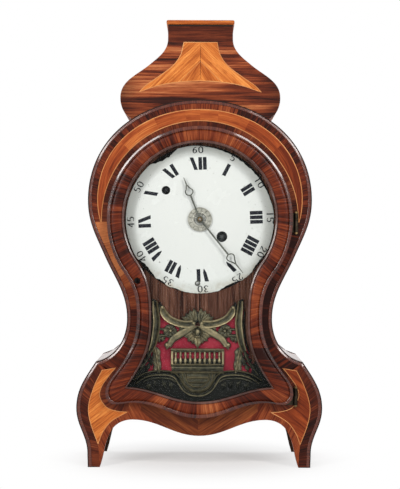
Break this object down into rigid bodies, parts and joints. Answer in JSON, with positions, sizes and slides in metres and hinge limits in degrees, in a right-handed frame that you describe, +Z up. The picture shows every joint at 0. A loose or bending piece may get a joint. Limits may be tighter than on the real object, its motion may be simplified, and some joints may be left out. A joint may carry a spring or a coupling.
{
  "type": "bracket clock",
  "caption": "Waisted veneered bracket clock on four feet with a glazed door, enamel dial, pierced fret, alarm movement and pendulum.",
  "frame": {"origin": "centre of the bounding box's bottom face, on the surface that the feet stand on", "axes": "+Z up, front of the clock towards -Y, +X to the viewer's right"},
  "size_m": [0.3404, 0.1816, 0.62],
  "materials": {
    "rosewood": "polished veneer",
    "tulipwood": "polished",
    "carcass_oak": "plain",
    "enamel": "glossy",
    "gilt_bronze": "patinated",
    "crimson_cloth": "woven",
    "brass": "brushed",
    "steel": "brushed",
    "pewter": "dull",
    "glass": "clear"
  },
  "bodies": {
    "case": {"front_board": "rosewood", "left_side": "rosewood", "right_side": "rosewood", "left_foot_panel": "rosewood", "right_foot_panel": "rosewood", "bottom_board": "carcass_oak", "back_frame": "carcass_oak", "back_lower_pivot": "brass", "back_upper_pivot": "brass", "crest_front": "rosewood", "crest_shell": "rosewood", "crest_cap": "tulipwood", "dial_board": "carcass_oak", "fret": "gilt_bronze", "fret_cloth": "crimson_cloth", "dial": "enamel", "seat_board": "carcass_oak", "pillar_plate": "brass", "back_plate": "brass", "back_cock": "brass", "bell": "brass", "bell_stand": "steel", "upper_hinge_case_leaf": "brass", "lower_hinge_case_leaf": "brass", "upper_hinge_pin": "brass", "lower_hinge_pin": "brass"},
    "front_door": {"door_frame": "rosewood", "door_glass": "glass", "glass_bead": "rosewood", "upper_hinge_door_leaf": "brass", "lower_hinge_door_leaf": "brass"},
    "latch": {"door_latch": "brass"},
    "rear_door": {"back_door": "carcass_oak"},
    "turn_button": {"back_turn_button": "brass"},
    "minute_group": {"centre_arbor": "steel", "cannon_pinion": "steel", "minute_hand": "steel", "hand_nut": "brass"},
    "third_group": {"third_arbor": "steel"},
    "escape_group": {"escape_arbor": "steel"},
    "going_drum": {"going_barrel": "brass", "going_mainspring": "steel"},
    "going_winder": {"going_arbor": "steel"},
    "going_pawl": {"going_click": "steel"},
    "motion_wheel": {"minute_wheel": "brass"},
    "hour_group": {"hour_wheel": "brass", "hour_hand": "steel"},
    "alarm_setter": {"alarm_disc": "pewter"},
    "alarm_drum": {"alarm_barrel": "brass", "alarm_mainspring": "steel"},
    "alarm_winder": {"alarm_arbor": "steel"},
    "alarm_pawl": {"alarm_click": "steel"},
    "alarm_scape": {"alarm_escape_arbor": "steel"},
    "hammer": {"alarm_hammer": "steel"},
    "let_off": {"alarm_lever": "steel"},
    "pallets": {"pallet_arbor": "steel"},
    "pendulum": {"pendulum_rod": "steel", "pendulum_bob": "brass"},
    "rating": {"rating_nut": "brass"}
  },
  "joints": [
    {"name": "door_hinge", "type": "hinge", "parent": "case", "child": "front_door", "pos_m": [0.133, -0.0793, 0.219], "axis": [0, 0, 1], "range_deg": [0, 105]},
    {"name": "latch_turn", "type": "hinge", "parent": "front_door", "child": "latch", "pos_m": [-0.086, -0.08, 0.2585], "axis": [0, 1, 0], "range_deg": [0, 90]},
    {"name": "back_door_hinge", "type": "hinge", "parent": "case", "child": "rear_door", "pos_m": [0.071, 0.0867, 0.295], "axis": [0, 0, -1], "range_deg": [0, 100]},
    {"name": "turn_button_turn", "type": "hinge", "parent": "case", "child": "turn_button", "pos_m": [-0.081, 0.0895, 0.3], "axis": [0, 1, 0], "range_deg": [0, 90]},
    {"name": "minute_turn", "type": "hinge", "parent": "case", "child": "minute_group", "pos_m": [0, -0.06, 0.3435], "axis": [0, 1, 0], "continuous": true},
    {"name": "third_turn", "type": "hinge", "parent": "case", "child": "third_group", "pos_m": [0.01672, 0, 0.36602], "axis": [0, 1, 0], "continuous": true},
    {"name": "escape_turn", "type": "hinge", "parent": "case", "child": "escape_group", "pos_m": [0, 0, 0.3835], "axis": [0, 1, 0], "continuous": true},
    {"name": "going_drum_turn", "type": "hinge", "parent": "case", "child": "going_drum", "pos_m": [0.0307, -0.02, 0.3196], "axis": [0, 1, 0], "continuous": true},
    {"name": "motion_wheel_turn", "type": "hinge", "parent": "case", "child": "motion_wheel", "pos_m": [-0.01579, -0.05, 0.33775], "axis": [0, 1, 0], "continuous": true},
    {"name": "hour_turn", "type": "hinge", "parent": "case", "child": "hour_group", "pos_m": [0, -0.06, 0.3435], "axis": [0, 1, 0], "continuous": true},
    {"name": "alarm_set", "type": "hinge", "parent": "hour_group", "child": "alarm_setter", "pos_m": [0, -0.07, 0.3435], "axis": [0, 1, 0], "continuous": true},
    {"name": "going_wind", "type": "hinge", "parent": "case", "child": "going_winder", "pos_m": [0.0307, -0.05, 0.3196], "axis": [0, 1, 0], "range_deg": [0, 1800]},
    {"name": "going_click_lift", "type": "hinge", "parent": "case", "child": "going_pawl", "pos_m": [0.0392, -0.044, 0.33432], "axis": [0, -1, 0], "range_deg": [0, 10]},
    {"name": "alarm_wind", "type": "hinge", "parent": "case", "child": "alarm_winder", "pos_m": [-0.0472, -0.05, 0.3838], "axis": [0, 1, 0], "range_deg": [0, 1800]},
    {"name": "alarm_click_lift", "type": "hinge", "parent": "case", "child": "alarm_pawl", "pos_m": [-0.0397, -0.044, 0.39679], "axis": [0, -1, 0], "range_deg": [0, 10]},
    {"name": "alarm_run", "type": "hinge", "parent": "case", "child": "alarm_drum", "pos_m": [-0.0472, -0.03, 0.3838], "axis": [0, 1, 0], "continuous": true},
    {"name": "alarm_scape_turn", "type": "hinge", "parent": "case", "child": "alarm_scape", "pos_m": [-0.04294, 0, 0.35694], "axis": [0, 1, 0], "continuous": true},
    {"name": "hammer_swing", "type": "hinge", "parent": "case", "child": "hammer", "pos_m": [-0.05875, 0, 0.35118], "axis": [0, 1, 0], "range_deg": [-6, 6]},
    {"name": "let_off_rock", "type": "hinge", "parent": "case", "child": "let_off", "pos_m": [-0.03, -0.05, 0.3235], "axis": [0, 1, 0], "range_deg": [0, 6]},
    {"name": "pendulum_swing", "type": "hinge", "parent": "case", "child": "pendulum", "pos_m": [0, 0.0202, 0.4095], "axis": [0, 1, 0], "range_deg": [-4, 4]},
    {"name": "pallet_rock", "type": "hinge", "parent": "case", "child": "pallets", "pos_m": [0, 0, 0.4095], "axis": [0, 1, 0], "range_deg": [-4, 4]},
    {"name": "rating_turn", "type": "hinge", "parent": "pendulum", "child": "rating", "pos_m": [0, 0.0202, 0.202], "axis": [0, 0, 1], "continuous": true}
  ],
  "couplings": [
    {"joint": "third_turn", "follows": "minute_turn", "ratio": -10},
    {"joint": "escape_turn", "follows": "minute_turn", "ratio": 120},
    {"joint": "going_drum_turn", "follows": "minute_turn", "ratio": -0.16667},
    {"joint": "motion_wheel_turn", "follows": "minute_turn", "ratio": -0.33333},
    {"joint": "hour_turn", "follows": "minute_turn", "ratio": 0.083333},
    {"joint": "alarm_scape_turn", "follows": "alarm_run", "ratio": -6},
    {"joint": "pallet_rock", "follows": "pendulum_swing", "ratio": 1}
  ]
}
